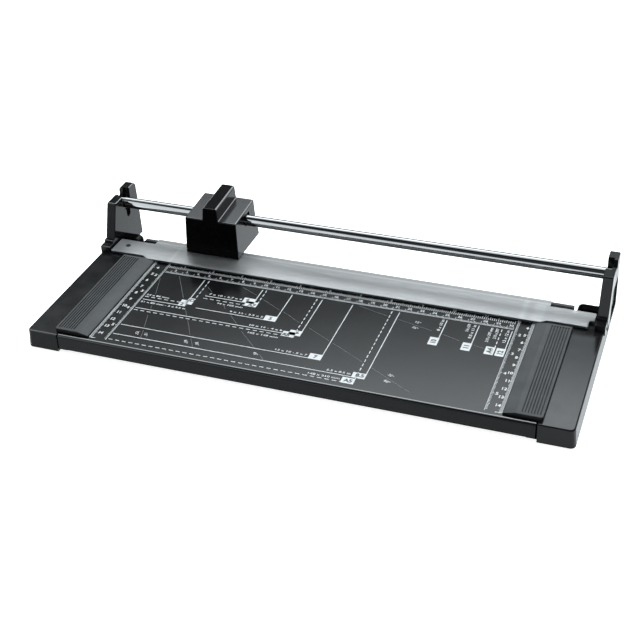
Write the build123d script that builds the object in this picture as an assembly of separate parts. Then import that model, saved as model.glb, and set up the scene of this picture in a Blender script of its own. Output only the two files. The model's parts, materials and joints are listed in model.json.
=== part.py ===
from build123d import *
import os

# Rotary paper trimmer: a flat steel table between two moulded end frames,
# a round guide rail over the cut line, and a cutting head that rolls a round
# blade along the bed knife. X runs along the cut, Y from front to back, Z up.
# The sections below are laid out with Z = 0 at the table's top face and Y = 0
# at the ruler's zero; the finished pieces are moved together at the end, so
# that the origin is in the middle of the footprint, on the surface it stands on.

# ---------------------------------------------------------------- dimensions
cut_half = 160.0          # half the width between the paper stops
table_half = 184.7        # half the table's width, to the middle of the seam with the end frames
seam = 0.65               # half the open width of that seam
front_y = -153.5          # front face of table and end frames
sheet_t = 1.5             # table sheet thickness
skirt_z = -12.3           # lower edge of the table's folds
back_fold_y = -1.4        # outer face of the table's back fold
bend_r = 2.2              # outside radius of the front fold

frame_half = 212.0        # half the overall width
frame_z = -15.5           # lower edge of the end frames
wing_top_x = 210.6        # outer edge of the wing at the table's level
wing_back_y = -6.0
wall = 2.5                # end frame wall
corner_r = 4.2            # front outer corner

post_in = 203.5           # inner face of the rail post
post_top = 39.2
post_low = -12.0
post_back_y = 31.1
post_lean = 0.5           # how far the post's outer face leans in over its height

rail_y, rail_z = 9.5, 28.2
rail_r = 4.65
rail_half = 208.4
pocket_r = 6.7            # notch in the post that takes the rail's saddle
pocket_x = 208.5
lug_in, lug_top = 186.4, 3.5   # round-ended lug that stops the head's travel

knife_half = 183.7
knife_y0, knife_y1 = -1.4, 1.6
knife_z = -12.0
knife_screw_x = (25.0, 85.0, 145.0)
knife_screw_z = -6.5

stop_out = 187.9
stop_y0, stop_y1 = -149.1, -33.4
stop_h = 3.3              # height of the flat part of a paper stop
stop_edge_h = 1.5         # height of its inner edge
stop_flat_x = 168.9       # where the slope meets the flat part
groove_x, groove_n, groove_pitch, groove_w, groove_d = 173.0, 7, 2.1, 1.0, 0.7
stop_screw_x = 178.0
stop_screw_y = (-135.0, -92.0, -48.0)

strip_z0, strip_z1 = 0.9, 2.7
strip_left, strip_right = -170.6, 166.3   # ends of the wide middle part
strip_front, strip_back = -32.8, -0.8
tab_half = 202.2
tab_front, tab_back = -29.3, -8.8
pin_x, pin_y, pin_r = 191.3, -18.1, 1.25

foot_x, foot_ys, foot_r = 197.5, (-140.0, -24.0), 5.0
foot_z = -16.3

head_x = -115.5           # middle of the cutting head as it stands
head_z = 3.4              # lower edge of the head
head_half_low, head_half_top = 23.6, 22.6
blade_r = 14.0
blade_y0, blade_y1 = 1.68, 2.08
axle_z = 12.0
axle_r = 2.5
bush_r = 6.55
split_y = 21.0            # parting plane of the head and its rear cover

y_shift = 60.25           # moves the middle of the footprint to Y = 0
z_shift = 16.3            # moves the underside of the feet to Z = 0


# ------------------------------------------------------------------- helpers
def block(x0, x1, y0, y1, z0, z1):
    return Pos((x0 + x1) / 2, (y0 + y1) / 2, (z0 + z1) / 2) * Box(abs(x1 - x0), abs(y1 - y0), abs(z1 - z0))


def rod_x(y, z, r, x0, x1):
    return Pos((x0 + x1) / 2, y, z) * Rot(0, 90, 0) * Cylinder(r, abs(x1 - x0))


def rod_y(x, z, r, y0, y1):
    return Pos(x, (y0 + y1) / 2, z) * Rot(90, 0, 0) * Cylinder(r, abs(y1 - y0))


def rod_z(x, y, r, z0, z1):
    return Pos(x, y, (z0 + z1) / 2) * Cylinder(r, abs(z1 - z0))


def outline(pts):
    return make_face(Polyline(*pts, close=True))


def prism_yz(pts, x0, x1):
    plane = Plane(origin=(x0, 0, 0), x_dir=(0, 1, 0), z_dir=(1, 0, 0))
    return extrude(plane * outline(pts), amount=x1 - x0)


def prism_xz(pts, y0, y1):
    plane = Plane(origin=(0, y1, 0), x_dir=(1, 0, 0), z_dir=(0, -1, 0))
    return extrude(plane * outline(pts), amount=y1 - y0)


def prism_xy(pts, z0, z1):
    return extrude(Pos(0, 0, z0) * outline(pts), amount=z1 - z0)


def turned_y(pts, x, z):
    # a turned piece about an axis along Y through (x, z); pts are (radius, y)
    plane = Plane(origin=(0, 0, 0), x_dir=(1, 0, 0), z_dir=(0, 0, 1))
    return Pos(x, 0, z) * revolve(plane * outline(pts), axis=Axis.Y)


def turned_x(pts, y, z):
    # a turned piece about an axis along X through (y, z); pts are (x, radius)
    return Pos(0, y, z) * revolve(outline(pts), axis=Axis.X)


def edges_where(shape, test):
    return [e for e in shape.edges() if test(e.center(), e)]


def both(shape):
    return shape, mirror(shape, about=Plane.YZ)


def group(shapes):
    out = shapes[0]
    for s in shapes[1:]:
        out = out + s
    return out


nodes = {}

# --------------------------------------------------------------------- table
# One sheet, folded down along the front and along the back.
table_out = prism_yz([(front_y, skirt_z), (front_y, 0), (back_fold_y, 0), (back_fold_y, skirt_z)],
                     seam - table_half, table_half - seam)
table_out = fillet(edges_where(table_out, lambda c, e: c.Z > -0.01 and abs(c.Y - front_y) < 0.01), bend_r)
table_out = fillet(edges_where(table_out, lambda c, e: c.Z > -0.01 and abs(c.Y - back_fold_y) < 0.01), 0.9)
table_in = prism_yz([(front_y + sheet_t, skirt_z - 1), (front_y + sheet_t, -sheet_t),
                     (back_fold_y - sheet_t, -sheet_t), (back_fold_y - sheet_t, skirt_z - 1)],
                    -table_half - 1, table_half + 1)
table_in = fillet(edges_where(table_in, lambda c, e: abs(c.Z + sheet_t) < 0.01 and abs(c.Y - front_y - sheet_t) < 0.01), 0.7)
table = table_out - table_in
for sx in (-1, 1):
    for y in stop_screw_y:
        table -= rod_z(sx * stop_screw_x, y, 1.7, -4, 1)
    for x in knife_screw_x:
        table -= rod_y(sx * x, knife_screw_z, 2.2, -5, 0)
nodes["table_plate"] = table

# ---------------------------------------------------------------- end frames
# Wing beside the table, hollow from below, with a rail post at the back.
wing_in = table_half + seam
wing = prism_xz([(wing_in, frame_z), (frame_half, frame_z), (wing_top_x, 0), (wing_in, 0)],
                front_y, wing_back_y)
wing = fillet(edges_where(wing, lambda c, e: abs(c.Y - front_y) < 0.01 and c.X > 208 and abs(c.Z - frame_z / 2) < 0.5), corner_r)
wing = fillet(edges_where(wing, lambda c, e: c.Z > -0.01 and c.X > wing_in + 0.01 and c.Y < wing_back_y - 0.01), 1.3)
wing = fillet(edges_where(wing, lambda c, e: c.Z < frame_z + 0.01 and c.X > wing_in + 0.01 and c.Y < wing_back_y - 0.01), 0.6)
inside = prism_xz([(wing_in + wall, frame_z - 1), (frame_half - wall, frame_z - 1),
                   (wing_top_x - wall, -wall), (wing_in + wall, -wall)],
                  front_y + wall, wing_back_y - wall)
inside = fillet(edges_where(inside, lambda c, e: abs(c.Y - front_y - wall) < 0.01 and c.X > 206 and c.Z > frame_z and c.Z < -4), corner_r - wall)
wing = wing - inside
for y in (-112.0, -74.0, -50.0):
    wing += block(wing_in + 1, wing_top_x - 1.2, y - 0.8, y + 0.8, -12.5, -1.5)
wing += block(table_half - 12.7, wing_in + 1, -148.0, -10.0, -5.0, -sheet_t)
wing += block(table_half - 7.0, wing_in + 1, front_y + 1.0, front_y + 7.0, -13.4, skirt_z)
wing += prism_yz([(front_y + 2.4, skirt_z), (front_y + 2.4, -2.5), (front_y + 3.2, -1.55), (front_y + 6.0, -1.55),
                  (front_y + 6.0, skirt_z)], table_half - 3.0, wing_in + 1)   # tongue behind the seam
for y in foot_ys:
    wing += rod_z(foot_x, y, 7.0, frame_z, -1.5)

# Post: a plate with a leaning front edge, a foot step in front of it, and flat
# tops each side of the notch that takes the rail.
post_side = [(-21.2, -3.0), (-9.5, 36.3), (7.6, 36.5), (11.6, 38.8), (25.4, post_top), (28.3, 36.2), (29.5, 22.0),
             (post_back_y, post_low), (-9.0, post_low), (-9.0, -3.0)]
post = prism_yz(post_side, post_in, 214.0)
post = fillet(edges_where(post, lambda c, e: abs(e.bounding_box().size.X - (214.0 - post_in)) < 0.01
                          and (abs(c.Z - 36.3) < 0.05 or abs(c.Z - post_top) < 0.05 or abs(c.Z - 36.2) < 0.05)), 1.2)
def post_face(z):
    # X of the post's outer face at height z
    return frame_half - post_lean * (z - post_low) / (post_top - post_low)


post_env = prism_xz([(post_in, post_low - 4), (post_face(post_low - 4), post_low - 4), (post_face(post_top + 3), post_top + 3), (post_in, post_top + 3)],
                    -60.0, 60.0)
post = post & post_env
post = fillet(edges_where(post, lambda c, e: e.bounding_box().size.X < 4 and c.Z > 2.0), 0.7)
post = post - prism_xz([(post_face(-8.0) - 1.25, -8.0), (post_face(20.0) - 1.25, 20.0), (216.0, 20.0), (216.0, -8.0)], -5.0, 26.0)
post = post - rod_x(rail_y, rail_z, pocket_r, post_in - 1, pocket_x)
post = post - block(post_in - 1, pocket_x, rail_y - pocket_r, rail_y + pocket_r, rail_z, 45.0)
post = post - block(pocket_x - 0.5, 216.0, rail_y - 3.6, rail_y + 3.8, 32.6, 45.0)
post = post - block(post_in - 1, post_in + 2.2, 7.2, 13.8, 17.8, 24.0) - rod_x(10.5, 17.8, 3.3, post_in - 1, post_in + 2.2)
face_x = post_face(rail_z)
post = post - turned_x([(207.0, 0), (207.0, 1.8), (face_x - 1.9, 1.8), (face_x, 3.7), (face_x + 2, 3.7), (face_x + 2, 0)], rail_y, rail_z)
step = block(post_in, 211.6, -29.0, -12.0, -3.0, 5.1) + block(post_in, 211.6, -21.6, -12.0, 0.0, 7.0)
step = fillet(edges_where(step, lambda c, e: (abs(c.Z - 5.1) < 0.01 and abs(c.Y + 29.0) < 0.01) or (abs(c.Z - 7.0) < 0.01 and abs(c.Y + 21.6) < 0.01)), 0.7)
step = step & prism_yz([(-30.0, -3.0), (-30.0, 8.0), (-17.7, 8.0), (-17.7, -3.0)], post_in, 212.0)
post = post + step
lug = block(lug_in, post_in + 1, -7.6, 1.2, -9.0, lug_top)
lug = fillet(edges_where(lug, lambda c, e: abs(c.X - lug_in) < 0.01 and abs(c.Z - lug_top) < 0.01), 4.0)
lug = fillet(edges_where(lug, lambda c, e: e.bounding_box().size.Y < 0.1 and c.Z > -6.0 and c.X < post_in), 0.9)
end_frame = wing + post + lug
for y in stop_screw_y:
    end_frame -= rod_z(stop_screw_x, y, 1.7, -8, 0)
for y in foot_ys:
    end_frame -= rod_z(foot_x, y, foot_r + 0.1, frame_z - 1, frame_z + 1.2)
nodes["right_end_frame"], left = both(end_frame)
left += rod_z(-pin_x, pin_y, 3.2, -10.0, -1.5)
nodes["left_end_frame"] = left - rod_z(-pin_x, pin_y, pin_r + 0.03, -9.0, 1.0)

# --------------------------------------------------------------- paper stops
stop = prism_xz([(cut_half, 0), (cut_half, stop_edge_h - 0.5), (cut_half + 0.7, stop_edge_h), (stop_flat_x, stop_h),
                 (stop_out, stop_h), (stop_out, 0)], stop_y0, stop_y1)
stop = fillet(edges_where(stop, lambda c, e: abs(c.X - stop_out) < 0.01 and abs(c.Y - stop_y0) < 0.01 and 0.5 < c.Z < stop_h - 0.5), 1.8)
stop = fillet(edges_where(stop, lambda c, e: c.Z > stop_h - 0.01 and c.X > stop_flat_x + 0.01 and c.Y < stop_y1 - 0.01), 0.5)
for i in range(groove_n):
    gx = groove_x + i * groove_pitch
    stop -= block(gx - groove_w / 2, gx + groove_w / 2, stop_y0 + 2.4, stop_y1 - 2.2, stop_h - groove_d, stop_h + 1)
for y in stop_screw_y:
    stop -= rod_z(stop_screw_x, y, 1.55, -1, 2.1)
nodes["right_paper_stop"], nodes["left_paper_stop"] = both(stop)

screws = []
for sx in (-1, 1):
    for y in stop_screw_y:
        head = rod_z(sx * stop_screw_x, y, 3.0, -7.0, -5.0)
        head = fillet(edges_where(head, lambda c, e: c.Z < -6.9), 0.8)
        head -= block(sx * stop_screw_x - 1.9, sx * stop_screw_x + 1.9, y - 0.35, y + 0.35, -7.5, -6.1)
        head -= block(sx * stop_screw_x - 0.35, sx * stop_screw_x + 0.35, y - 1.9, y + 1.9, -7.5, -6.1)
        screws.append(head + rod_z(sx * stop_screw_x, y, 1.5, -5.2, 1.9))
nodes["stop_screws"] = group(screws)

# ---------------------------------------------------------------- clamp strip
strip = prism_xy([(-tab_half, tab_front), (strip_left - 1.5, tab_front), (strip_left + 3.0, strip_front),
                  (strip_right - 3.0, strip_front), (strip_right + 1.5, tab_front), (tab_half - 3.9, tab_front),
                  (tab_half - 3.9, -20.4), (tab_half, -20.4), (tab_half, tab_back), (strip_right, tab_back),
                  (strip_right, strip_back), (strip_left, strip_back), (strip_left, tab_back), (-tab_half, tab_back)],
                 strip_z0, strip_z1)
upright = lambda c: abs(c.Z - (strip_z0 + strip_z1) / 2) < 0.01
strip = fillet(edges_where(strip, lambda c, e: upright(c) and (abs(c.X - strip_left) < 0.01 or abs(c.X - strip_right) < 0.01)), 0.8)
strip = fillet(edges_where(strip, lambda c, e: upright(c) and abs(c.X) > 190 and e.bounding_box().size.Z > 1), 1.0)
strip = chamfer(edges_where(strip, lambda c, e: c.Z > strip_z1 - 0.01), 0.3)
strip -= rod_z(-pin_x, pin_y, pin_r + 0.4, 0, 5)
nodes["clamp_strip"] = strip

# Headed pin at the left tab; the right tab is notched round the foot of the post.
pin = rod_z(-pin_x, pin_y, 2.1, strip_z1 + 0.05, strip_z1 + 0.4)
pin = fillet(edges_where(pin, lambda c, e: c.Z > strip_z1 + 0.35), 0.25)
nodes["strip_pin"] = pin + rod_z(-pin_x, pin_y, pin_r, -8.8, strip_z1 + 0.2)

# ----------------------------------------------------------------- guide rail
rail = rod_x(rail_y, rail_z, rail_r, -rail_half, rail_half)
rail = chamfer(edges_where(rail, lambda c, e: abs(abs(c.X) - rail_half) < 0.01), 0.4)
for sx in (-1, 1):
    rail -= rod_x(rail_y, rail_z, 1.8, sx * (rail_half - 14), sx * (rail_half + 1))
nodes["guide_rail"] = rail

saddle_in = post_in + 2.4
saddle = rod_x(rail_y, rail_z, pocket_r - 0.05, saddle_in, rail_half)
saddle += block(saddle_in, rail_half, rail_y - pocket_r + 0.05, rail_y + pocket_r - 0.05, rail_z, 34.6)
saddle -= rod_x(rail_y, rail_z, rail_r + 0.04, post_in - 1, rail_half + 1)
saddle -= block(post_in - 1, rail_half + 1, rail_y - rail_r - 0.04, rail_y + rail_r + 0.04, rail_z, 40.0)
nodes["rail_saddles"] = group(both(saddle))

rscrew = turned_x([(rail_half - 11, 0), (rail_half - 11, 1.75), (face_x - 1.95, 1.75), (face_x - 0.1, 3.55), (face_x - 0.1, 0)], rail_y, rail_z)
rscrew -= block(face_x - 1.1, face_x + 1, rail_y - 2.2, rail_y + 2.2, rail_z - 0.4, rail_z + 0.4)
rscrew -= block(face_x - 1.1, face_x + 1, rail_y - 0.4, rail_y + 0.4, rail_z - 2.2, rail_z + 2.2)
nodes["rail_screws"] = group(both(rscrew))

# ------------------------------------------------------------------ bed knife
knife = block(-knife_half, knife_half, knife_y0, knife_y1, knife_z, 0)
knife = chamfer(edges_where(knife, lambda c, e: c.Z < knife_z + 0.01 and c.Y > knife_y1 - 0.01), 0.5)
kscrews, knuts = [], []
for sx in (-1, 1):
    for x in knife_screw_x:
        knife -= turned_y([(0, -3), (2.1, -3), (2.1, knife_y1 - 2.0), (4.05, knife_y1), (4.05, knife_y1 + 1), (0, knife_y1 + 1)], sx * x, knife_screw_z)
        s = turned_y([(0, -7.5), (1.98, -7.5), (1.98, knife_y1 - 2.1), (3.85, knife_y1 - 0.12), (0, knife_y1 - 0.12)], sx * x, knife_screw_z)
        s -= block(sx * x - 2.4, sx * x + 2.4, knife_y1 - 1.2, knife_y1 + 1, knife_screw_z - 0.4, knife_screw_z + 0.4)
        s -= block(sx * x - 0.4, sx * x + 0.4, knife_y1 - 1.2, knife_y1 + 1, knife_screw_z - 2.4, knife_screw_z + 2.4)
        kscrews.append(s)
        hexa = Plane(origin=(sx * x, back_fold_y - sheet_t, knife_screw_z), x_dir=(1, 0, 0), z_dir=(0, -1, 0)) * RegularPolygon(4.0, 6)
        knuts.append(extrude(hexa, amount=3.2) - rod_y(sx * x, knife_screw_z, 2.03, -8, 0))
nodes["bed_knife"] = knife
nodes["bed_knife_screws"] = group(kscrews)
nodes["bed_knife_nuts"] = group(knuts)

# ---------------------------------------------------------------- rubber feet
feet = []
for sx in (-1, 1):
    for y in foot_ys:
        f = rod_z(sx * foot_x, y, foot_r, foot_z, frame_z + 1.2)
        feet.append(chamfer(edges_where(f, lambda c, e: c.Z < foot_z + 0.01), 0.4))
nodes["rubber_feet"] = group(feet)

# --------------------------------------------------------------- cutting head
# Built about X = 0, then moved to where the head stands.
head_side = [(-13.9, head_z), (-12.6, 35.4), (28.3, 38.1), (29.2, 22.9), (33.0, 5.0), (33.0, head_z)]
taper = (head_half_low - head_half_top) / 32.6
half_50 = head_half_low - taper * (50.0 - head_z)
body = prism_yz(head_side, -40.0, 40.0) & prism_xz([(-head_half_low, head_z), (head_half_low, head_z), (half_50, 50.0), (-half_50, 50.0)], -40.0, 60.0)
body = fillet(edges_where(body, lambda c, e: c.Z > head_z + 1.7), 1.1)
fin = prism_yz([(-12.64, 34.0), (-12.15, 46.4), (27.8, 48.8), (28.35, 36.0), (28.4, 34.0)], -20.0, 20.0)
fin = fin & prism_xz([(-6.9, 34.0), (6.9, 34.0), (5.9, 50.0), (-5.9, 50.0)], -40.0, 60.0)
fin = fillet(edges_where(fin, lambda c, e: c.Z > 45.0 and e.bounding_box().size.Y > 20), 1.7)
fin = fillet(edges_where(fin, lambda c, e: c.Z > 45.0 and e.bounding_box().size.Y < 5), 0.6)
outer = body + fin
outer = fillet(edges_where(outer, lambda c, e: 5.5 < abs(c.X) < 7.5 and 34.0 < c.Z < 40.0 and e.bounding_box().size.Y > 20), 0.8)
hollow = prism_yz([(-11.7, head_z - 1), (-10.6, 33.0), (25.9, 34.4), (26.7, 22.6), (30.6, 5.0), (30.7, head_z - 1)], -40.0, 40.0)
hollow = hollow & prism_xz([(-head_half_low + 2.2, head_z - 2), (head_half_low - 2.2, head_z - 2), (half_50 - 2.2, 50.0), (-half_50 + 2.2, 50.0)], -40.0, 60.0)
hollow = fillet(edges_where(hollow, lambda c, e: c.Z > 8), 0.8)
case = outer - hollow
inner_block = outer & prism_yz([(-11.0, head_z), (-10.0, 34.0), (30.0, 34.8), (30.0, head_z)], -22.0, 22.0)
shell = case & block(-40, 40, -40, split_y, -10, 60)
cover = case & block(-40, 40, split_y + 0.12, 60, -10, 60)
cover_screw_z = 8.0
for sx in (-1, 1):
    shell += inner_block & block(sx * 13.0, sx * 22.4, 1.0, 19.4, 19.5, 34.8)
    shell += inner_block & block(sx * 14.0, sx * 22.4, 14.0, split_y, 5.0, 11.2)
    shell += rod_z(sx * 12.0, -7.2, 2.6, 7.5, 34.0)
    cover += outer & rod_y(sx * 16.4, cover_screw_z, 4.4, split_y + 0.12, 32.0)
for sx in (-1, 1):
    shell -= rod_y(sx * 16.4, cover_screw_z, 1.3, 13.0, split_y + 1)
    shell -= rod_z(sx * 12.0, -7.2, 1.05, 7.0, 15.0)
    shell -= rod_z(sx * 16.5, 16.8, 1.3, 19.0, 23.4)
    cover -= rod_y(sx * 16.4, cover_screw_z, 1.5, split_y, 40.0)
    cover -= rod_y(sx * 16.4, cover_screw_z, 3.1, 27.5, 40.0)
shell -= rod_x(rail_y, rail_z, bush_r + 0.05, -20.9, 20.9)
for sx in (-1, 1):
    window = block(sx * 20.8, sx * 30.0, 5.2, 16.6, 26.0, 33.2)
    window = fillet(edges_where(window, lambda c, e: e.bounding_box().size.X > 5), 0.9)
    shell -= rod_x(rail_y, rail_z, 5.3, sx * 20.8, sx * 30.0) + window
head = {"carriage_shell": shell, "carriage_rear_cover": cover}

cs = []
for sx in (-1, 1):
    s = rod_y(sx * 16.4, cover_screw_z, 2.8, 27.5, 29.6)
    s = fillet(edges_where(s, lambda c, e: c.Y > 29.5), 0.7)
    s -= block(sx * 16.4 - 1.8, sx * 16.4 + 1.8, 28.5, 31.0, cover_screw_z - 0.35, cover_screw_z + 0.35)
    s -= block(sx * 16.4 - 0.35, sx * 16.4 + 0.35, 28.5, 31.0, cover_screw_z - 1.8, cover_screw_z + 1.8)
    cs.append(s + rod_y(sx * 16.4, cover_screw_z, 1.25, 14.5, 27.6))
head["rear_cover_screws"] = group(cs)

bush = rod_x(rail_y, rail_z, bush_r, 10.5, 20.8) - rod_x(rail_y, rail_z, rail_r + 0.05, 9.0, 22.0)
bush = chamfer(edges_where(bush, lambda c, e: abs(c.X - 20.8) < 0.01), 0.5)
head["rail_bushes"] = group(both(bush))

# Carrier behind the blade: an upright plate with two ears under the bush blocks.
carrier = block(-19.5, 19.5, 11.0, 13.8, 5.0, 19.5)
for sx in (-1, 1):
    carrier += block(sx * 8.0, sx * 19.5, 4.4, 19.4, 16.4, 19.5)
    carrier -= block(sx * 13.5, sx * 30.0, 10.0, 20.0, 0.0, 11.6)
carrier += rod_y(0, axle_z, 5.0, 10.0, 17.0)
carrier = carrier - rod_y(0, axle_z, axle_r + 0.02, 5.0, 20.0)
for sx in (-1, 1):
    carrier -= rod_z(sx * 16.5, 16.8, 1.5, 15.0, 20.0)
head["blade_carrier"] = carrier
cs = []
for sx in (-1, 1):
    s = rod_z(sx * 16.5, 16.8, 2.4, 14.5, 16.4)
    s = fillet(edges_where(s, lambda c, e: c.Z < 14.6), 0.6)
    s -= block(sx * 16.5 - 1.6, sx * 16.5 + 1.6, 16.45, 17.15, 13.0, 15.4)
    s -= block(sx * 16.5 - 0.35, sx * 16.5 + 0.35, 15.2, 18.4, 13.0, 15.4)
    cs.append(s + rod_z(sx * 16.5, 16.8, 1.25, 16.3, 23.2))
head["carrier_screws"] = group(cs)

axle = rod_y(0, axle_z, axle_r, -1.6, 16.6) - (rod_y(0, axle_z, 4.0, -0.80, -0.14) - rod_y(0, axle_z, 1.9, -2, 1))
head["blade_axle"] = chamfer(edges_where(axle, lambda c, e: c.Y < -1.55 or c.Y > 16.55), 0.3)
clip = rod_y(0, axle_z, 4.1, -0.76, -0.18) - rod_y(0, axle_z, 1.95, -2, 1) - block(-1.6, 1.6, -2, 1, axle_z, axle_z + 6)
head["axle_clip"] = clip
head["thrust_washer"] = rod_y(0, axle_z, 5.0, 7.85, 8.4) - rod_y(0, axle_z, axle_r + 0.1, 5, 10)
head["blade_spring"] = group([turned_y([(2.75, 8.86), (5.0, 8.44), (5.0, 8.76), (2.75, 9.18)], 0, axle_z),
                              turned_y([(2.75, 9.22), (5.0, 9.64), (5.0, 9.96), (2.75, 9.54)], 0, axle_z)])

shoe = block(-18.5, 18.5, -10.9, -3.5, 3.0, 7.5)
shoe = fillet(edges_where(shoe, lambda c, e: c.Z < 3.01 and abs(abs(c.X) - 18.5) < 0.01), 1.2)
cs = []
for sx in (-1, 1):
    shoe -= rod_z(sx * 12.0, -7.2, 1.2, 2.0, 8.0) + rod_z(sx * 12.0, -7.2, 2.3, 2.0, 5.2)
    s = rod_z(sx * 12.0, -7.2, 2.1, 3.7, 5.2)
    s -= block(sx * 12.0 - 1.4, sx * 12.0 + 1.4, -7.5, -6.9, 3.0, 4.5)
    cs.append(s + rod_z(sx * 12.0, -7.2, 1.0, 5.1, 14.0))
head["pressure_shoe"] = shoe
head["shoe_screws"] = group(cs)

# ---------------------------------------------------------------------- blade
blade = turned_y([(4.03, blade_y0), (blade_r, blade_y0), (blade_r, blade_y0 + 0.05), (blade_r - 1.7, blade_y1), (4.03, blade_y1)], 0, axle_z)
hub = turned_y([(axle_r + 0.04, -0.1), (4.0, -0.1), (4.0, blade_y1), (8.0, blade_y1), (8.0, 3.7), (7.6, 4.1), (4.0, 4.1), (4.0, 7.8), (axle_r + 0.04, 7.8)], 0, axle_z)
ring = turned_y([(4.03, 0.5), (6.6, 0.5), (7.0, 0.9), (7.0, blade_y0), (4.03, blade_y0)], 0, axle_z)
for i in range(3):
    spot = Pos(0, 0, axle_z) * Rot(0, 120 * i, 0) * Pos(9.9, 0, -axle_z)
    blade -= Pos(0, 0, 0) * (spot * rod_y(0, axle_z, 1.0, 0, 4))
    spot = Pos(0, 0, axle_z) * Rot(0, 120 * i + 60, 0) * Pos(5.5, 0, -axle_z)
    ring -= spot * rod_y(0, axle_z, 0.6, 0, 1.2)
head["cutting_blade"] = blade
head["blade_hub"] = hub
head["hub_clamp_ring"] = ring
for name, shape in head.items():
    nodes[name] = Pos(head_x, 0, 0) * shape

# -------------------------------------------------------------------- writing
os.makedirs("parts", exist_ok=True)
lo, hi = [1e9] * 3, [-1e9] * 3
for name, shape in nodes.items():
    placed = Pos(0, y_shift, z_shift) * shape
    bb = placed.bounding_box()
    lo = [min(a, b) for a, b in zip(lo, (bb.min.X, bb.min.Y, bb.min.Z))]
    hi = [max(a, b) for a, b in zip(hi, (bb.max.X, bb.max.Y, bb.max.Z))]
    export_step(placed, f"parts/{name}.step")
print("nodes", len(nodes))
print("lowest corner", [round(v, 3) for v in lo], "highest corner", [round(v, 3) for v in hi])
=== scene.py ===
import bpy, bmesh, json, math
from mathutils import Matrix, Vector


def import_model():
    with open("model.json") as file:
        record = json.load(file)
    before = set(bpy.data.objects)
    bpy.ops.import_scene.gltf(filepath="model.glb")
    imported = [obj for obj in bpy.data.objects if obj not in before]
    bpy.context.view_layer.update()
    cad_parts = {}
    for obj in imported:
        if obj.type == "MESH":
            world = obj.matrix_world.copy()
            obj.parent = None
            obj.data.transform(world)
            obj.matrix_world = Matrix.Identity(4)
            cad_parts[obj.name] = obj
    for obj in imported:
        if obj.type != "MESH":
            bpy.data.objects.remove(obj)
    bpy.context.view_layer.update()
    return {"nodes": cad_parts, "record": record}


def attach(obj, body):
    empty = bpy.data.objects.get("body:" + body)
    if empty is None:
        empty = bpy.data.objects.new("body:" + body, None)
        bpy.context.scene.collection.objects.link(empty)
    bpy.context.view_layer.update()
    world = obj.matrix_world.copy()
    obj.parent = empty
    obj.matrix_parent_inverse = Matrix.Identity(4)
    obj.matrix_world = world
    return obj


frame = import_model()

nodes = frame["nodes"]
scene = bpy.context.scene
scene.view_settings.view_transform = "Standard"
scene.view_settings.look = "None"
scene.view_settings.exposure = 0.0
scene.view_settings.gamma = 1.0

MM = 0.001
TABLE_Z = 16.3          # height of the table's top face, mm
RULE_X, RULE_Y = 160.0, 60.25   # the rulers' zero stands at (-160, 60.25) in the frame, mm


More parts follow.
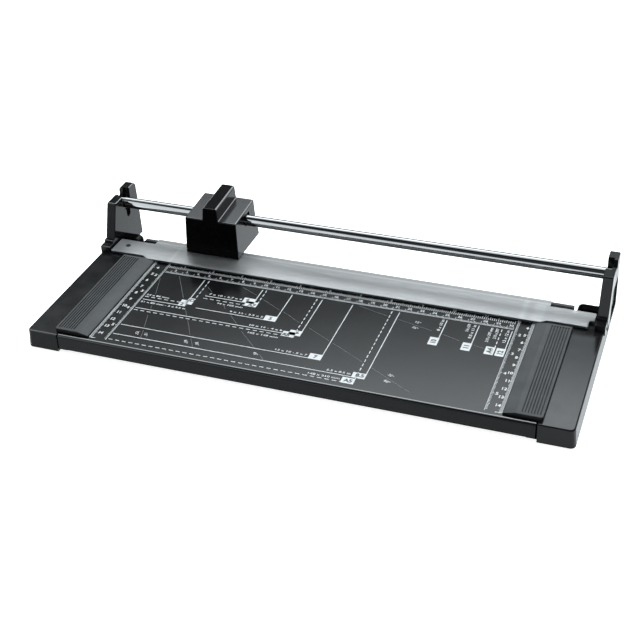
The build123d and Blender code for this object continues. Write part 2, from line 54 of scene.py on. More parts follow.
# ------------------------------------------------------------------ materials
class Mat:
    """A material with one Principled shader and a few helpers for its node tree."""

    def __init__(self, name):
        self.mat = bpy.data.materials.new(name)
        self.mat.use_nodes = True
        self.nt = self.mat.node_tree
        self.nt.nodes.clear()
        self.out = self.node("ShaderNodeOutputMaterial")
        self.bsdf = self.node("ShaderNodeBsdfPrincipled")
        self.link(self.bsdf.outputs[0], self.out.inputs[0])
        self.coord = self.node("ShaderNodeTexCoord").outputs["Object"]

    def node(self, kind, **props):
        n = self.nt.nodes.new(kind)
        for k, v in props.items():
            setattr(n, k, v)
        return n

    def link(self, a, b):
        self.nt.links.new(a, b)

    def set(self, **values):
        for k, v in values.items():
            self.bsdf.inputs[k.replace("_", " ")].default_value = v

    def scaled(self, scale, coord=None):
        n = self.node("ShaderNodeMapping")
        n.inputs["Scale"].default_value = scale
        self.link(coord or self.coord, n.inputs["Vector"])
        return n.outputs["Vector"]

    def noise(self, scale, detail=2.0, rough=0.5, coord=None, distort=0.0):
        n = self.node("ShaderNodeTexNoise")
        n.inputs["Scale"].default_value = scale
        n.inputs["Detail"].default_value = detail
        n.inputs["Roughness"].default_value = rough
        n.inputs["Distortion"].default_value = distort
        self.link(coord or self.coord, n.inputs["Vector"])
        return n.outputs["Fac"]

    def span(self, value, a, b, c, d, smooth=False):
        n = self.node("ShaderNodeMapRange")
        n.interpolation_type = "SMOOTHSTEP" if smooth else "LINEAR"
        n.inputs["From Min"].default_value = a
        n.inputs["From Max"].default_value = b
        n.inputs["To Min"].default_value = c
        n.inputs["To Max"].default_value = d
        self.link(value, n.inputs["Value"])
        return n.outputs["Result"]

    def math(self, op, a, b=None, clamp=False):
        n = self.node("ShaderNodeMath", operation=op, use_clamp=clamp)
        for i, v in enumerate((a, b)):
            if v is None:
                continue
            if isinstance(v, (int, float)):
                n.inputs[i].default_value = v
            else:
                self.link(v, n.inputs[i])
        return n.outputs[0]

    def mix(self, fac, a, b):
        n = self.node("ShaderNodeMix", data_type="RGBA")
        for sock, v in ((n.inputs[0], fac), (n.inputs[6], a), (n.inputs[7], b)):
            if isinstance(v, (tuple, list)):
                sock.default_value = (*v, 1.0)[:4]
            elif isinstance(v, (int, float)):
                sock.default_value = v
            else:
                self.link(v, sock)
        return n.outputs[2]

    def bump(self, height, distance, strength=1.0, normal=None):
        n = self.node("ShaderNodeBump")
        n.inputs["Strength"].default_value = strength
        n.inputs["Distance"].default_value = distance
        self.link(height, n.inputs["Height"])
        if normal is not None:
            self.link(normal, n.inputs["Normal"])
        return n.outputs["Normal"]

    def edge(self, radius):
        """About 1 on a sharp or tightly rounded edge, 0 on a flat."""
        b = self.node("ShaderNodeBevel")
        b.samples = 4
        b.inputs["Radius"].default_value = radius
        g = self.node("ShaderNodeNewGeometry")
        d = self.node("ShaderNodeVectorMath", operation="DOT_PRODUCT")
        self.link(b.outputs["Normal"], d.inputs[0])
        self.link(g.outputs["Normal"], d.inputs[1])
        return self.span(d.outputs["Value"], 0.995, 0.86, 0.0, 1.0, True)

    def facing(self):
        """X, Y and Z of the surface's own normal."""
        g = self.node("ShaderNodeNewGeometry")
        s = self.node("ShaderNodeSeparateXYZ")
        self.link(g.outputs["Normal"], s.inputs[0])
        return s.outputs

    def rounded(self, flat=0.992):
        """About 1 on upward rounded edges, 0 on flats and on upright faces."""
        nz = self.facing()[2]
        return self.math("MULTIPLY", self.span(nz, 0.42, 0.52, 0.0, 1.0), self.span(nz, 2.75 * flat - 1.75, flat, 1.0, 0.0))

    def place(self):
        """X, Y and Z in the object's own frame."""
        s = self.node("ShaderNodeSeparateXYZ")
        self.link(self.coord, s.inputs[0])
        return s.outputs

    def put(self, **links):
        for k, v in links.items():
            self.link(v, self.bsdf.inputs[k.replace("_", " ")])


def moulded(name, base, worn_and_highlight_colour, rough, grain, depth, spec=0.5, wear_and_highlight_amount=0.5, mottle=70.0, shine=0.0):
    """Moulded plastic: spark-eroded grain, faint mottling, edges rubbed smoother and lightened in colour, partly wear
    and partly a painted highlight.
    """
    m = Mat(name)
    fine = m.noise(grain, 3.0, 0.6)
    broad = m.noise(mottle, 3.0, 0.55)
    speck = m.noise(grain * 0.35, 2.0, 0.5)
    edge = m.math("MULTIPLY", m.edge(0.0006), m.span(m.noise(260.0, 3.0, 0.65), 0.38, 0.66, 0.15, 1.0))
    tone = m.span(broad, 0.3, 0.7, 0.0, 1.0)
    dark = tuple(c * 0.86 for c in base)
    light = tuple(c * 1.16 for c in base)
    # rubbed edges take a lighter colour: wear together with a painted highlight for the light that rounded edges catch
    colour = m.mix(m.math("MULTIPLY", edge, wear_and_highlight_amount), m.mix(tone, dark, light), worn_and_highlight_colour)
    r = m.math("ADD", m.span(broad, 0.3, 0.7, rough - 0.025, rough + 0.025), m.span(speck, 0.3, 0.7, -0.02, 0.02))
    r = m.math("SUBTRACT", r, m.math("MULTIPLY", edge, 0.10), clamp=True)
    normal = m.bump(fine, depth, 0.9)
    m.set(Specular_IOR_Level=spec)
    m.put(Base_Color=colour, Roughness=r, Normal=normal)
    if shine > spec:
        m.put(Specular_IOR_Level=m.span(m.rounded(), 0.0, 1.0, spec, shine))
    return m


def frame_plastic():
    """End frames: satin faces; edges on the left take a polish, those on the right stay dull; the lugs at the cut line
    and the frame parts within 185 mm of the middle are painted near black as painted shade and left dull.
    """
    m = moulded("frame_plastic", (0.0085, 0.0090, 0.0096), (0.060, 0.061, 0.063), 0.135, 2300.0, 0.000002, 0.21, 0.6)
    x, y, z = m.place()
    nx, ny, nz = m.facing()
    wide = m.math("ABSOLUTE", x)
    rounded = m.rounded()
    right = m.span(x, -0.05, 0.05, 0.0, 1.0)
    level = m.span(m.math("MULTIPLY", rounded, m.math("SUBTRACT", 1.0, right)), 0.0, 1.0, 0.21, 0.9)
    level = m.math("SUBTRACT", level, m.math("MULTIPLY", m.math("MULTIPLY", rounded, right), 0.19), clamp=True)
    lean = m.math("MULTIPLY", m.span(ny, -0.86, -0.92, 0.0, 1.0), m.math("MULTIPLY", m.span(nz, 0.15, 0.22, 0.0, 1.0), m.span(nz, 0.36, 0.44, 1.0, 0.0)))
    level = m.math("ADD", level, m.math("MULTIPLY", m.math("MULTIPLY", lean, right), 0.30))
    outer = m.math("MULTIPLY", m.math("MULTIPLY", m.span(nx, 0.90, 0.96, 0.0, 1.0), right), m.span(z, 0.0170, 0.0160, 0.15, 0.17))
    front = m.math("MULTIPLY", m.span(ny, -0.95, -0.98, 0.0, 0.09), m.math("SUBTRACT", 1.0, right))
    front = m.math("MULTIPLY", front, m.span(z, 0.0180, 0.0170, 0.0, 1.0))
    level = m.math("SUBTRACT", level, m.math("ADD", outer, front), clamp=True)
    # painted shade: the lugs at the cut line and the frame parts within 185 mm of the middle get a near-black colour
    # and little gloss
    lug = m.math("MULTIPLY", m.span(wide, 0.2036, 0.2033, 0.0, 1.0), m.math("MULTIPLY", m.span(y, 0.0515, 0.0522, 0.0, 1.0), m.span(y, 0.0622, 0.0628, 1.0, 0.0)))
    lug = m.math("MULTIPLY", lug, m.span(z, 0.0205, 0.0200, 0.0, 1.0))
    painted_shade_dull = m.math("MAXIMUM", lug, m.span(wide, 0.1853, 0.1850, 0.0, 1.0))
    m.put(Base_Color=m.mix(painted_shade_dull, m.bsdf.inputs["Base Color"].links[0].from_socket, (0.0016, 0.0016, 0.0018)),
          Specular_IOR_Level=m.math("MULTIPLY", level, m.span(painted_shade_dull, 0.0, 1.0, 1.0, 0.04)))
    return m


def table_coat():
    """Satin powder coat on steel: orange-peel skin over finer grain, light handling marks, and edges lightened in
    colour as rubbed coat plus a painted highlight.
    """
    m = Mat("table_coat")
    peel = m.noise(950.0, 2.0, 0.5)
    fine = m.noise(3600.0, 2.0, 0.5)
    broad = m.noise(26.0, 4.0, 0.6)
    streak = m.noise(14.0, 4.0, 0.65, m.scaled((6.0, 55.0, 20.0)))
    height = m.math("ADD", m.math("MULTIPLY", peel, 0.7), m.math("MULTIPLY", fine, 0.3))
    edge = m.edge(0.0005)
    rubbed = m.math("MULTIPLY", m.span(streak, 0.52, 0.72, 0.0, 1.0, True), m.span(broad, 0.42, 0.62, 0.0, 1.0))
    colour = m.mix(m.span(broad, 0.3, 0.7, 0.0, 1.0), (0.0034, 0.0037, 0.0040), (0.0050, 0.0054, 0.0058))
    # rounded edges lightened in colour: rubbed coat plus a painted highlight
    colour = m.mix(m.math("MULTIPLY", edge, 0.35), colour, (0.03, 0.031, 0.032))
    r = m.math("ADD", m.span(broad, 0.3, 0.7, 0.115, 0.150), m.math("MULTIPLY", rubbed, -0.02))
    m.set(Specular_IOR_Level=0.18)
    m.put(Base_Color=colour, Roughness=r, Normal=m.bump(height, 0.000006, 0.8), Specular_IOR_Level=m.span(m.rounded(0.9985), 0.0, 1.0, 0.18, 1.0))
    return m


def head_plastic():
    """Satin black housing; the grip's flat top has a matt, finely stippled finish."""
    m = moulded("head_plastic", (0.0016, 0.0017, 0.0021), (0.020, 0.021, 0.022), 0.17, 4200.0, 0.000002, 0.24, 0.5)
    sep = m.node("ShaderNodeSeparateXYZ")
    m.link(m.coord, sep.inputs[0])
    geo = m.node("ShaderNodeNewGeometry")
    up = m.node("ShaderNodeSeparateXYZ")
    m.link(geo.outputs["True Normal"], up.inputs[0])
    top = m.math("MULTIPLY", m.span(sep.outputs["Z"], 0.0600, 0.0606, 0.0, 1.0), m.span(up.outputs["Z"], 0.94, 0.985, 0.0, 1.0))
    matt = m.math("MULTIPLY", top, 0.55)
    old = m.bsdf.inputs["Roughness"].links[0].from_socket
    m.put(Roughness=m.math("ADD", old, matt, clamp=True))
    front = m.span(up.outputs["Y"], -0.90, -0.97, 0.0, 1.0)
    spec = m.math("SUBTRACT", m.span(top, 0.0, 1.0, 0.24, 0.06), m.math("MULTIPLY", front, 0.185))
    m.put(Specular_IOR_Level=m.math("ADD", spec, m.math("MULTIPLY", m.rounded(), 0.45), clamp=True))
    stipple = m.math("MULTIPLY", m.noise(1500.0, 1.0, 0.5), top)
    m.put(Normal=m.bump(stipple, 0.00006, 0.8, m.bsdf.inputs["Normal"].links[0].from_socket))
    return m


def stop_plastic():
    """Grained side stops; their upright ends and sides and the grooves between the ribs are painted darker as painted
    shade, and left dull.
    """
    m = moulded("stop_plastic", (0.060, 0.0624, 0.0648), (0.095, 0.096, 0.098), 0.45, 2600.0, 0.000010, 0.13, 0.35)
    upright = m.span(m.facing()[2], 0.35, 0.15, 0.0, 1.0)
    side = m.place()[0]
    wide = m.math("ABSOLUTE", side)
    turn = m.math("FRACT", m.math("DIVIDE", m.math("SUBTRACT", wide, 0.17195), 0.0021))
    groove = m.math("MULTIPLY", m.span(m.math("ABSOLUTE", m.math("SUBTRACT", turn, 0.5)), 0.25, 0.22, 0.0, 1.0), m.span(wide, 0.1723, 0.1724, 0.0, 1.0))
    groove = m.math("MULTIPLY", groove, m.span(wide, 0.1862, 0.1863, 1.0, 0.0))
    groove = m.math("MULTIPLY", groove, m.span(m.place()[2], 0.0194, 0.0192, 0.0, 1.0))
    # painted shade: upright faces and rib grooves take a darker colour and less gloss
    painted_shade_stop = m.math("MAXIMUM", m.math("MULTIPLY", upright, 0.85), m.math("MULTIPLY", groove, m.span(side, -0.05, 0.05, 0.36, 0.50)))
    m.put(Base_Color=m.mix(painted_shade_stop, m.bsdf.inputs["Base Color"].links[0].from_socket, (0.004, 0.004, 0.0045)),
          Specular_IOR_Level=m.span(painted_shade_stop, 0.0, 0.85, 0.13, 0.03))
    return m


def frosted_strip():
    """Frosted clear plastic: fine matt skin, slight haze and long drawn marks; upright edges and a rear band painted
    dark as painted shade, a painted highlight along the front lip, and painted light bars over the side rulers.
    """
    m = Mat("strip_plastic")
    fine = m.noise(2600.0, 2.0, 0.5)
    cloud = m.noise(38.0, 4.0, 0.6, m.scaled((0.35, 1.6, 1.0)))
    drawn = m.noise(30.0, 3.0, 0.6, m.scaled((0.12, 12.0, 12.0)))
    haze = m.math("ADD", m.math("MULTIPLY", cloud, 0.6), m.math("MULTIPLY", drawn, 0.4))
    colour = m.mix(m.span(haze, 0.35, 0.65, 0.0, 1.0), (0.84, 0.86, 0.865), (0.90, 0.91, 0.915))
    upright = m.span(m.facing()[2], 0.5, 0.2, 0.0, 1.0)
    sep = m.node("ShaderNodeSeparateXYZ")
    m.link(m.coord, sep.inputs[0])
    # painted highlight: a narrow band along the front lip is made cloudier and so lighter
    painted_highlight_lip = m.math("MULTIPLY", m.span(sep.outputs["Y"], 0.0286, 0.0281, 0.0, 1.0), m.math("SUBTRACT", 1.0, upright))
    # painted shade: the strip's upright edges take a dark colour
    colour = m.mix(upright, colour, (0.10, 0.105, 0.11))
    x, y, _ = m.place()
    # painted shade: a band near the rear edge takes a dark colour and is made cloudier
    painted_shade_rear = m.span(y, 0.0520, 0.0562, 0.0, 1.0, True)
    colour = m.mix(painted_shade_rear, colour, (0.110, 0.1135, 0.115))
    # painted light: lighter bars where the side rulers' print below would show through the strip
    painted_light_bars = None
    for a, b, soft in ((-0.1478, -0.1446, 0.0009), (0.1462, 0.1502, 0.0018), (0.1556, 0.1640, 0.0022)):
        one = m.math("MULTIPLY", m.span(x, a - soft, a + soft, 0.0, 1.0, True), m.span(x, b - soft, b + soft, 1.0, 0.0, True))
        painted_light_bars = one if painted_light_bars is None else m.math("MAXIMUM", painted_light_bars, one)
    painted_light_bars = m.math("MULTIPLY", painted_light_bars, m.span(haze, 0.3, 0.7, 0.4, 1.0))
    haze_and_painted_light = m.math("ADD", m.span(haze, 0.35, 0.65, 0.126, 0.166), m.math("MULTIPLY", painted_highlight_lip, 0.08))
    haze_and_painted_light = m.math("ADD", haze_and_painted_light, m.math("ADD", m.math("MULTIPLY", painted_shade_rear, 0.62), m.math("MULTIPLY", painted_light_bars, 0.10)), clamp=True)
    middle = m.math("MULTIPLY", m.span(y, 0.0345, 0.0400, 0.0, 1.0, True), m.span(y, 0.0425, 0.0485, 1.0, 0.0, True))
    haze_and_painted_light = m.math("ADD", haze_and_painted_light, m.math("MULTIPLY", middle, 0.05), clamp=True)
    rubbed = m.math("ADD", m.span(y, 0.0345, 0.0300, 0.0, 0.22, True), m.span(y, 0.0470, 0.0530, 0.0, 0.20, True))
    m.put(Base_Color=colour, Roughness=m.span(haze, 0.3, 0.7, 0.14, 0.20), Coat_Roughness=m.span(haze, 0.3, 0.7, 0.32, 0.40), Normal=m.bump(fine, 0.000008, 0.7),
          Transmission_Weight=m.math("SUBTRACT", 1.0, haze_and_painted_light), Coat_Weight=m.math("SUBTRACT", m.math("SUBTRACT", 1.0, rubbed), upright, clamp=True))
    m.set(IOR=1.49, Specular_IOR_Level=0.35, Coat_IOR=2.5, Coat_Roughness=0.36, Coat_Weight=1.0, Transmission_Weight=0.87)
    return m


def chrome():
    """Hard-chromed ground rod: near mirror, with faint lengthways polish and small smears; its top and underside
    painted darker as painted shade.
    """
    m = Mat("rail_chrome")
    line = m.noise(40.0, 3.0, 0.6, m.scaled((0.3, 34.0, 34.0)))
    smear = m.noise(45.0, 4.0, 0.6, m.scaled((0.5, 1.0, 1.0)))
    # painted shade: the rod's top and underside take darker colours than its sides
    side_chrome = m.mix(m.span(smear, 0.35, 0.65, 0.0, 1.0), (0.70, 0.705, 0.715), (0.80, 0.80, 0.805))
    painted_shade_top = m.mix(m.span(smear, 0.35, 0.65, 0.0, 1.0), (0.18, 0.182, 0.184), (0.21, 0.21, 0.212))
    painted_shade_under = m.mix(m.span(smear, 0.35, 0.65, 0.0, 1.0), (0.40, 0.403, 0.408), (0.46, 0.46, 0.463))
    nz = m.facing()[2]
    sides = m.mix(m.span(nz, 0.06, -0.06, 0.0, 1.0), side_chrome, painted_shade_under)
    m.put(Base_Color=m.mix(m.span(nz, 0.70, 0.78, 0.0, 1.0), sides, painted_shade_top),
          Roughness=m.math("ADD", m.span(smear, 0.35, 0.7, 0.055, 0.10), m.span(line, 0.3, 0.7, -0.012, 0.02)),
          Normal=m.bump(line, 0.000002, 0.5))
    m.set(Metallic=1.0)
    return m


def steel(name, base, rough, grind, depth, stain=0.12):
    """Ground or drawn steel: lines along X, uneven sheen, faint stains."""
    m = Mat(name)
    line = m.noise(300.0, 3.0, 0.6, m.scaled(grind))
    broad = m.noise(55.0, 4.0, 0.6)
    low = tuple(c * (1.0 - stain) for c in base)
    m.put(Base_Color=m.mix(m.span(broad, 0.35, 0.65, 0.0, 1.0), low, base),
          Roughness=m.math("ADD", m.span(broad, 0.3, 0.7, rough - 0.05, rough + 0.06), m.span(line, 0.3, 0.7, -0.04, 0.04)),
          Normal=m.bump(line, depth, 0.7))
    m.set(Metallic=1.0)
    return m


def ink(name, base, rough):
    """Screen-printed ink: thin, a little patchy, with a fine mesh texture."""
    m = Mat(name)
    patch = m.noise(420.0, 3.0, 0.6)
    weave = m.noise(2600.0, 1.0, 0.5)
    low = tuple(c * 0.88 for c in base)
    m.put(Base_Color=m.mix(m.span(patch, 0.32, 0.6, 0.0, 1.0), low, base), Roughness=m.span(patch, 0.3, 0.7, rough - 0.05, rough + 0.07),
          Normal=m.bump(weave, 0.000006, 0.6))
    return m


mats = {
    "table_coat": table_coat(),
    "frame_plastic": frame_plastic(),
    "stop_plastic": stop_plastic(),
    "strip_plastic": frosted_strip(),
    "rail_chrome": chrome(),
    "head_plastic": head_plastic(),
    "blade_steel": steel("blade_steel", (0.62, 0.62, 0.63), 0.26, (0.25, 5.0, 5.0), 0.000004),
    "plain_steel": steel("plain_steel", (0.46, 0.46, 0.47), 0.36, (0.6, 3.0, 3.0), 0.000006, 0.2),
    "screw_steel": steel("screw_steel", (0.36, 0.365, 0.375), 0.34, (1.0, 1.0, 1.0), 0.000006, 0.25),
    "bearing_plastic": moulded("bearing_plastic", (0.62, 0.61, 0.57), (0.74, 0.73, 0.70), 0.42, 1800.0, 0.000008, 0.5, 0.3),
    "bush_plastic": moulded("bush_plastic", (0.012, 0.012, 0.013), (0.05, 0.05, 0.052), 0.38, 1800.0, 0.000008, 0.4, 0.3),
    "foot_rubber": moulded("foot_rubber", (0.018, 0.018, 0.019), (0.045, 0.045, 0.046), 0.82, 1300.0, 0.000030, 0.3, 0.5),
    "print_white": ink("print_white", (0.64, 0.655, 0.66), 0.48),
    "print_grey": ink("print_grey", (0.15, 0.157, 0.16), 0.48),
    "print_dark": ink("print_dark", (0.018, 0.018, 0.020), 0.48),
}
slot_of = {s["node"]: s["material_slot"] for s in frame["record"]["subparts"]}
for name, ob in nodes.items():
    ob.data.materials.clear()
    ob.data.materials.append(mats[slot_of[name]].mat)
nodes["bed_knife"].data.materials.clear()
nodes["bed_knife"].data.materials.append(steel("bed_steel", (0.050, 0.050, 0.052), 0.34, (0.25, 5.0, 5.0), 0.000004).mat)
nodes["strip_pin"].data.materials.clear()
nodes["strip_pin"].data.materials.append(mats["bush_plastic"].mat)
nodes["rail_screws"].data.materials.clear()
nodes["rail_screws"].data.materials.append(mats["screw_steel"].mat)


# ----------------------------------------------------------- printed markings
class Print:
    """Thin raised ink: closed prisms and letters in the rulers' own millimetres."""

    def __init__(self, z0, z1):
        self.bm = bmesh.new()
        self.z0, self.z1 = z0, z1

    def prism(self, pts):
        # pts run anticlockwise, seen from above
        low = [self.bm.verts.new(((x - RULE_X) * MM, (y + RULE_Y) * MM, self.z0 * MM)) for x, y in pts]
        top = [self.bm.verts.new(((x - RULE_X) * MM, (y + RULE_Y) * MM, self.z1 * MM)) for x, y in pts]
        n = len(pts)
        self.bm.faces.new(top)
        self.bm.faces.new(low[::-1])
        for i in range(n):
            j = (i + 1) % n
            self.bm.faces.new((low[i], low[j], top[j], top[i]))

    def rect(self, x0, x1, y0, y1):
        x0, x1 = min(x0, x1), max(x0, x1)
        y0, y1 = min(y0, y1), max(y0, y1)
        self.prism([(x0, y0), (x1, y0), (x1, y1), (x0, y1)])

    def stroke(self, a, b, width):
        d = Vector((b[0] - a[0], b[1] - a[1]))
        n = Vector((-d.y, d.x)).normalized() * (width / 2)
        self.prism([(a[0] - n.x, a[1] - n.y), (b[0] - n.x, b[1] - n.y), (b[0] + n.x, b[1] + n.y), (a[0] + n.x, a[1] + n.y)])

    def dashes(self, a, b, width, dash=3.4, period=5.6, phase=0.0):
        d = Vector((b[0] - a[0], b[1] - a[1]))
        length = d.length
        d.normalize()
        t = phase
        while t < length - 0.6:
            e = min(t + dash, length)
            self.stroke((a[0] + d.x * t, a[1] + d.y * t), (a[0] + d.x * e, a[1] + d.y * e), width)
            t += period

    def text(self, words, x, y, height, width=None, turn=0.0, bold=0.0, align="CENTER", squeeze=1.0):
        cu = bpy.data.curves.new("letters", "FONT")
        cu.body = words
        cu.size = 1.0
        cu.resolution_u = 3
        cu.offset = bold
        cu.extrude = 0.5
        ob = bpy.data.objects.new("letters", cu)
        scene.collection.objects.link(ob)
        bpy.context.view_layer.update()
        me = bpy.data.meshes.new_from_object(ob.evaluated_get(bpy.context.evaluated_depsgraph_get()))
        bpy.data.objects.remove(ob)
        bpy.data.curves.remove(cu)
        co = [v.co.copy() for v in me.vertices]
        x0, x1 = min(c.x for c in co), max(c.x for c in co)
        y0, y1 = min(c.y for c in co), max(c.y for c in co)
        sy = height / (y1 - y0)
        sx = width / (x1 - x0) if width else sy * squeeze
        cx = {"CENTER": (x0 + x1) / 2, "LEFT": x0, "RIGHT": x1}[align]
        cy = (y0 + y1) / 2
        c, s = math.cos(turn), math.sin(turn)
        new = []
        for p in co:
            u, v = (p.x - cx) * sx, (p.y - cy) * sy
            z = self.z1 if p.z > 0 else self.z0
            new.append(self.bm.verts.new(((x + u * c - v * s - RULE_X) * MM, (y + u * s + v * c + RULE_Y) * MM, z * MM)))
        for f in me.polygons:
            vs = [new[i] for i in f.vertices]
            if len(set(vs)) == len(vs):
                try:
                    self.bm.faces.new(vs)
                except ValueError:
                    pass
        bpy.data.meshes.remove(me)

    def piece(self, name, mat, body):
        bmesh.ops.remove_doubles(self.bm, verts=self.bm.verts, dist=1e-7)
        bmesh.ops.dissolve_degenerate(self.bm, edges=self.bm.edges, dist=1e-8)
        bmesh.ops.recalc_face_normals(self.bm, faces=self.bm.faces)
        me = bpy.data.meshes.new(name)
        self.bm.to_mesh(me)
        self.bm.free()
        me.materials.append(mat)
        ob = bpy.data.objects.new(name, me)
        scene.collection.objects.link(ob)
        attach(ob, body)
        return ob


white = Print(TABLE_Z - 0.008, TABLE_Z + 0.030)
dark = Print(TABLE_Z + 0.022, TABLE_Z + 0.042)
grey = Print(TABLE_Z - 0.008, TABLE_Z + 0.024)

# Side rulers: centimetres along the stops, inches on the inner side.
for side in (-1, 1):
    edge = 0.35 if side < 0 else 319.65
    inner = 14.6 if side < 0 else 306.9
    way = -side
    white.rect(edge, edge + way * 0.50, -147.9, -1.0)
    white.rect(edge, edge + way * 5.2, -148.2, -147.6)
    for k in range(2, 148):
        reach = 3.1 if k % 10 == 0 else (2.8 if k % 5 == 0 else 2.35)
        white.rect(edge, edge + way * reach, -k - 0.19, -k + 0.19)
    white.rect(inner, inner - way * 0.40, -147.9, -1.0)
    for k in range(2, 93):
        y = -25.4 * k / 16.0
        if y < -147.5:
            break
        reach = 2.4 if k % 16 == 0 else (2.1 if k % 8 == 0 else (1.9 if k % 4 == 0 else 1.7))
        white.rect(inner, inner - way * reach, y - 0.25, y + 0.25)
    for k in range(1, 15):
        white.text(str(k), 6.6 if side < 0 else 315.2, -10.0 * k, 3.3, bold=0.030, squeeze=0.95)
    for k in range(1, 6):
        white.text(str(k), 10.1 if side < 0 else 311.4, -25.4 * k, 3.2, bold=0.030)

# Long ruler under the clamp strip: inches above, centimetres below.
for k in range(10, 193):
    x = 25.4 * k / 16.0
    if not 15.7 < x < 305.5:
        continue
    reach = 4.1 if k % 16 == 0 else (3.8 if k % 8 == 0 else (3.5 if k % 4 == 0 else (3.1 if k % 2 == 0 else 2.6)))
    white.rect(x - 0.24, x + 0.24, -37.4, -37.4 + reach)
for k in range(1, 13):
    white.text(str(k), 25.4 * k + 2.9, -32.7, 2.5, bold=0.030)
white.rect(15.6, 305.6, -45.1, -44.75)
for k in range(16, 306):
    reach = 4.3 if k % 10 == 0 else (3.3 if k % 5 == 0 else 2.1)
    white.rect(k - 0.17, k + 0.17, -45.1, -45.1 + reach)
for k in range(2, 31):
    white.text(str(k), 10.0 * k + 3.0, -40.0, 2.7, bold=0.014, squeeze=0.98)

# Format guides: solid ones for photo and card sizes, dashed ones for standard sheets.
W = 0.64


def guide(x, y, x_from, box, dashed, size, note, note_x, note_y, shift=(0.0, 0.0), y_top=-47.3):
    draw = white.dashes if dashed else white.stroke
    draw((x, y_top), (x, box[3]), W)
    if x_from is not None:
        draw((x_from, y), (box[0], y), W)
    white.rect(*box)
    dark.text(size, (box[0] + box[1]) / 2 + shift[0], (box[2] + box[3]) / 2 + shift[1], 4.0, squeeze=1.05, bold=0.045)
    white.text(note, (note_x[0] + note_x[1]) / 2, note_y, 2.1, width=note_x[1] - note_x[0], bold=0.014)


guide(52.2, -87.3, 16.0, (46.7, 52.7, -87.8, -79.0), False, "2", "51 x 89 mm - 2 x 3.5 in", (16.2, 54.8), -90.8, (-0.6, -1.4))
guide(56.3, -83.2, 16.0, (51.3, 56.8, -84.1, -75.2), True, "ID", "54 x 86 mm", (16.2, 35.8), -80.2, (0.4, 1.6))
guide(103.0, -68.6, 62.0, (93.6, 103.5, -68.9, -61.9), False, "4", "7 x 10 - 2.7 x 4", (64.2, 92.2), -65.2, (-1.8, 1.0))
guide(106.4, -72.3, 62.0, (96.9, 106.9, -73.0, -66.1), True, "A7", "74 x 105 mm", (75.4, 97.2), -76.0, (1.0, -1.2))
guide(128.3, -87.2, 62.0, (118.9, 128.8, -87.6, -80.7), False, "5", "9 x 13 - 3.5 x 5", (89.6, 117.6), -83.8)
guide(149.2, -103.2, 16.0, (139.7, 149.9, -103.8, -97.0), True, "A6", "105 x 148 mm", (114.4, 138.6), -106.9, (-1.8, -1.0))
guide(153.6, -100.2, 16.0, (144.3, 154.1, -100.8, -93.9), False, "6", "10 x 15 - 4 x 6", (111.8, 138.6), -97.0, (1.6, 1.0))
guide(178.8, -125.2, 16.0, (169.4, 179.3, -125.7, -118.8), False, "7", "13 x 18 - 5 x 7", (142.6, 167.8), -121.9)
guide(210.9, -146.0, 16.0, (201.6, 211.3, -146.8, -139.9), True, "A5", "148 x 210 mm", (176.0, 200.2), -142.8)
guide(216.9, -138.2, 16.0, (207.2, 217.3, -138.7, -132.1), False, "8.5", "5.5 x 8.5 in", (187.6, 205.8), -135.0, (0.6, 0.4))
for x, box, dashed, size, notes in (
    (254.7, (248.3, 255.4, -82.3, -72.2), False, "10", (("8 x 10 in", 251.6, -55.0, 15.6),)),
    (279.8, (273.4, 280.4, -82.3, -72.2), False, "11", (("8.5 x 11 in", 276.5, -56.6, 18.6), ("216 x 279", 272.3, -52.4, 10.4))),
    (297.4, (291.0, 298.0, -82.3, -72.2), True, "A4", (("210 x 297", 294.2, -54.2, 14.0), ("210 x 297 mm", 289.6, -57.1, 19.6))),
    (305.2, (299.1, 305.8, -82.3, -72.2), False, "12", (("12 x 12 in", 302.1, -55.6, 16.8),)),
):
    (white.dashes if dashed else white.stroke)((x, -47.3), (x, box[3]), W)
    white.rect(*box)
    dark.text(size, (box[0] + box[1]) / 2, (box[2] + box[3]) / 2, 4.4, squeeze=1.0, turn=math.pi / 2, bold=0.045)
    for words, cx, cy, long_ in notes:
        white.text(words, cx, cy, 2.4, width=long_, turn=math.pi / 2, bold=0.014)

# Fine angle lines from the zero corner, and their figures.
THIN = 0.22
for a, b in (
    ((15.8, -54.7), (22.8, -78.2)), ((26.9, -93.0), (28.4, -98.6)), ((30.3, -107.2), (35.3, -124.3)), ((36.4, -127.4), (38.6, -136.6)),
    ((29.5, -47.2), (46.4, -76.4)), ((55.9, -92.6), (59.4, -98.8)), ((63.2, -104.9), (73.4, -122.9)), ((76.0, -127.2), (82.0, -137.2)),
    ((58.6, -55.9), (65.4, -62.5)), ((82.2, -78.0), (84.8, -81.4)), ((93.2, -89.6), (101.4, -98.4)), ((109.2, -107.2), (126.2, -124.2)), ((133.4, -131.4), (139.0, -137.2)),
    ((86.4, -48.2), (101.0, -56.0)), ((108.4, -60.4), (126.6, -71.0)), ((130.2, -72.4), (147.4, -83.2)), ((156.8, -87.6), (177.4, -99.9)), ((180.6, -101.6), (209.2, -118.3)), ((218.4, -123.6), (252.4, -143.9)),
    ((184.0, -47.3), (209.2, -54.6)), ((218.6, -56.7), (247.2, -64.4)), ((256.4, -66.6), (270.2, -71.2)), ((282.0, -73.5), (289.6, -75.8)),
):
    grey.stroke(a, b, THIN)
for words, x, y, turn in (
    ("75°", 33.4, -132.4, -75), ("15°", 40.9, -132.6, -75), ("60°", 74.3, -132.4, -60), ("30°", 83.4, -132.4, -60),
    ("45°", 130.4, -131.6, -45), ("15°", 234.3, -56.4, -15), ("75°", 234.0, -64.2, -15), ("30°", 234.2, -128.4, -30), ("60°", 233.6, -136.2, -30),
):
    white.text(words, x, y, 2.7, turn=math.radians(turn), bold=0.004)

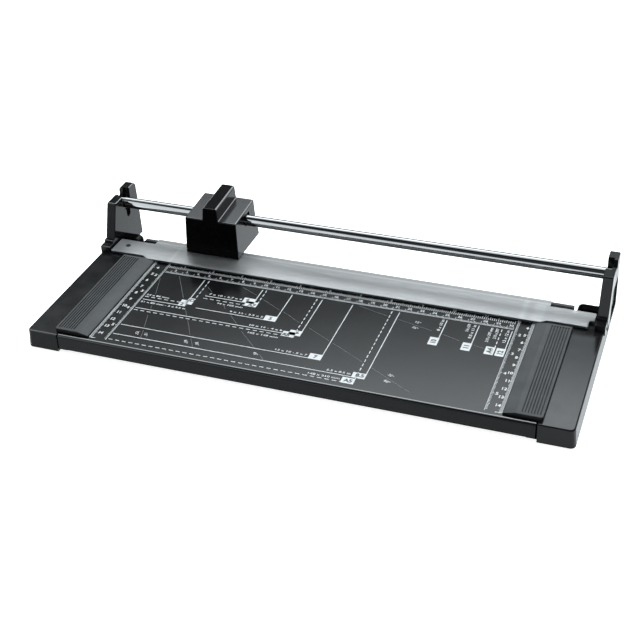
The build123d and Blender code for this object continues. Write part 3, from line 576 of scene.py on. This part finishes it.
white.piece("table_markings", mats["print_white"].mat, "frame")
grey.piece("table_angle_lines", mats["print_grey"].mat, "frame")
dark.piece("table_size_figures", mats["print_dark"].mat, "frame")


# The rail's plated skin, a fine round tube of chrome over the rod.
def rail_skin():
    bm = bmesh.new()
    y0, z0, r, half, n = 0.06975, 0.0445, 0.004662, 0.2030, 192
    ends = []
    for x in (-half, half):
        ends.append([bm.verts.new((x, y0 + r * math.cos(2 * math.pi * i / n), z0 + r * math.sin(2 * math.pi * i / n))) for i in range(n)])
    for i in range(n):
        j = (i + 1) % n
        f = bm.faces.new((ends[0][i], ends[1][i], ends[1][j], ends[0][j]))
        f.smooth = True
    bm.faces.new(ends[0])
    bm.faces.new(ends[1][::-1])
    bmesh.ops.recalc_face_normals(bm, faces=bm.faces)
    me = bpy.data.meshes.new("rail_plating")
    bm.to_mesh(me)
    bm.free()
    me.materials.append(mats["rail_chrome"].mat)
    ob = bpy.data.objects.new("rail_plating", me)
    scene.collection.objects.link(ob)
    ob.data.set_sharp_from_angle(angle=math.radians(40))
    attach(ob, "frame")


rail_skin()


# ---------------------------------------------------------------------- floor
def floor():
    bpy.ops.mesh.primitive_plane_add(size=24.0, location=(0, 0, 0))
    ob = bpy.context.object
    ob.name = "floor"
    m = Mat("floor_white")
    n = m.noise(3.0, 2.0, 0.5)
    m.put(Base_Color=m.mix(n, (0.88, 0.88, 0.88), (0.90, 0.90, 0.90)))
    m.set(Roughness=0.85, Specular_IOR_Level=0.1, Emission_Color=(1.0, 1.0, 1.0, 1.0), Emission_Strength=0.90)
    ob.data.materials.append(m.mat)
    ob.visible_glossy = False


floor()


# ---------------------------------------------------------------------- light
def world():
    w = bpy.data.worlds.new("studio")
    scene.world = w
    w.use_nodes = True
    nt = w.node_tree
    nt.nodes.clear()
    out = nt.nodes.new("ShaderNodeOutputWorld")
    bg = nt.nodes.new("ShaderNodeBackground")
    tc = nt.nodes.new("ShaderNodeTexCoord")
    sep = nt.nodes.new("ShaderNodeSeparateXYZ")
    nt.links.new(tc.outputs["Generated"], sep.inputs[0])
    x, y, z = sep.outputs

    def span(v, a, b, c, d):
        n = nt.nodes.new("ShaderNodeMapRange")
        n.interpolation_type = "SMOOTHSTEP"
        for k, val in (("From Min", a), ("From Max", b), ("To Min", c), ("To Max", d)):
            n.inputs[k].default_value = val
        nt.links.new(v, n.inputs["Value"])
        return n.outputs["Result"]

    def calc(op, a, b):
        n = nt.nodes.new("ShaderNodeMath")
        n.operation = op
        for i, v in enumerate((a, b)):
            if isinstance(v, (int, float)):
                n.inputs[i].default_value = v
            else:
                nt.links.new(v, n.inputs[i])
        return n.outputs[0]

    def blend(t, p, q):
        # p where t is 0, q where t is 1
        return calc("ADD", calc("MULTIPLY", p, calc("SUBTRACT", 1.0, t)), calc("MULTIPLY", q, t))

    back = span(y, -0.10, 0.02, 0.0, 1.0)
    bearing = calc("DIVIDE", x, calc("MAXIMUM", y, 0.15))
    rise = calc("MULTIPLY", RISE, calc("POWER", 2.71828, calc("MULTIPLY", calc("SUBTRACT", z, 0.565), 42.0)))
    wall = calc("MINIMUM", rise, SOFTBOX)
    wall = calc("MULTIPLY", wall, calc("MULTIPLY", span(bearing, -1.7, -1.2, 0.3, 1.0), span(bearing, 0.3, 0.7, 1.0, 0.3)))
    wall = calc("MULTIPLY", wall, calc("MULTIPLY", span(z, 0.86, 0.94, 1.0, 0.5), span(bearing, -0.72, -0.40, 0.86, 1.0)))
    side = calc("MULTIPLY", span(bearing, 0.14, 0.30, 0.0, SIDE), span(bearing, 0.9, 1.3, 1.0, 0.0))
    side = calc("MULTIPLY", side, calc("MULTIPLY", span(z, 0.18, 0.30, 0.0, 1.0), span(z, 0.58, 0.64, 1.0, 0.0)))
    wall = calc("MAXIMUM", wall, side)
    above = span(z, -0.03, 0.03, 0.0, 1.0)
    behind = blend(above, BACK_FLOOR, wall)
    front_up = span(calc("ADD", z, calc("MULTIPLY", x, 1.65)), -0.06, 0.14, HORIZON, FRONT_HIGH)
    front_down = span(z, -0.34, -0.14, FRONT_FLOOR, HORIZON)
    before = blend(above, front_down, front_up)
    nt.links.new(calc("MULTIPLY", blend(back, before, behind), span(z, -0.92, -0.66, 0.12, 1.0)), bg.inputs["Strength"])
    bg.inputs["Color"].default_value = (0.935, 1.0, 1.03, 1.0)
    plain = nt.nodes.new("ShaderNodeBackground")
    plain.inputs["Color"].default_value = (1.0, 1.0, 1.0, 1.0)
    plain.inputs["Strength"].default_value = 1.0
    path = nt.nodes.new("ShaderNodeLightPath")
    mix = nt.nodes.new("ShaderNodeMixShader")
    nt.links.new(path.outputs["Is Camera Ray"], mix.inputs[0])
    nt.links.new(bg.outputs[0], mix.inputs[1])
    nt.links.new(plain.outputs[0], mix.inputs[2])
    nt.links.new(mix.outputs[0], out.inputs[0])


RISE, SOFTBOX, SIDE, BACK_FLOOR = 1.46, 6.4, 4.2, 1.6
HORIZON, FRONT_HIGH, FRONT_FLOOR = 0.84, 0.03, 1.20
world()


def area(name, loc, aim, size, power, glossy=True, colour=(1.0, 1.0, 1.0)):
    li = bpy.data.lights.new(name, "AREA")
    li.shape = "RECTANGLE"
    li.size, li.size_y = size
    li.energy = power
    li.color = colour
    ob = bpy.data.objects.new(name, li)
    ob.location = loc
    ob.rotation_euler = (Vector(aim) - Vector(loc)).to_track_quat("-Z", "Y").to_euler()
    ob.visible_glossy = glossy
    scene.collection.objects.link(ob)
    return ob


area("overhead_soft", (0.0, 0.25, 2.2), (0.0, 0.0, 0.0), (3.2, 3.2), 1.0, glossy=False)

# --------------------------------------------------------------------- camera
cam = bpy.data.cameras.new("camera")
cam.sensor_fit = "HORIZONTAL"
cam.sensor_width = 36.0
cam.lens = 69.84
cam.clip_start = 0.01
cam_ob = bpy.data.objects.new("camera", cam)
right, up, back_ = Vector((0.94280, 0.33211, -0.02883)), Vector((-0.16080, 0.52883, 0.83336)), Vector((0.29201, -0.78106, 0.55198))
rot = Matrix((right, up, back_)).transposed().to_4x4()
cam_ob.matrix_world = Matrix.Translation((0.281918, -0.763320, 0.544555)) @ rot
scene.collection.objects.link(cam_ob)
scene.camera = cam_ob
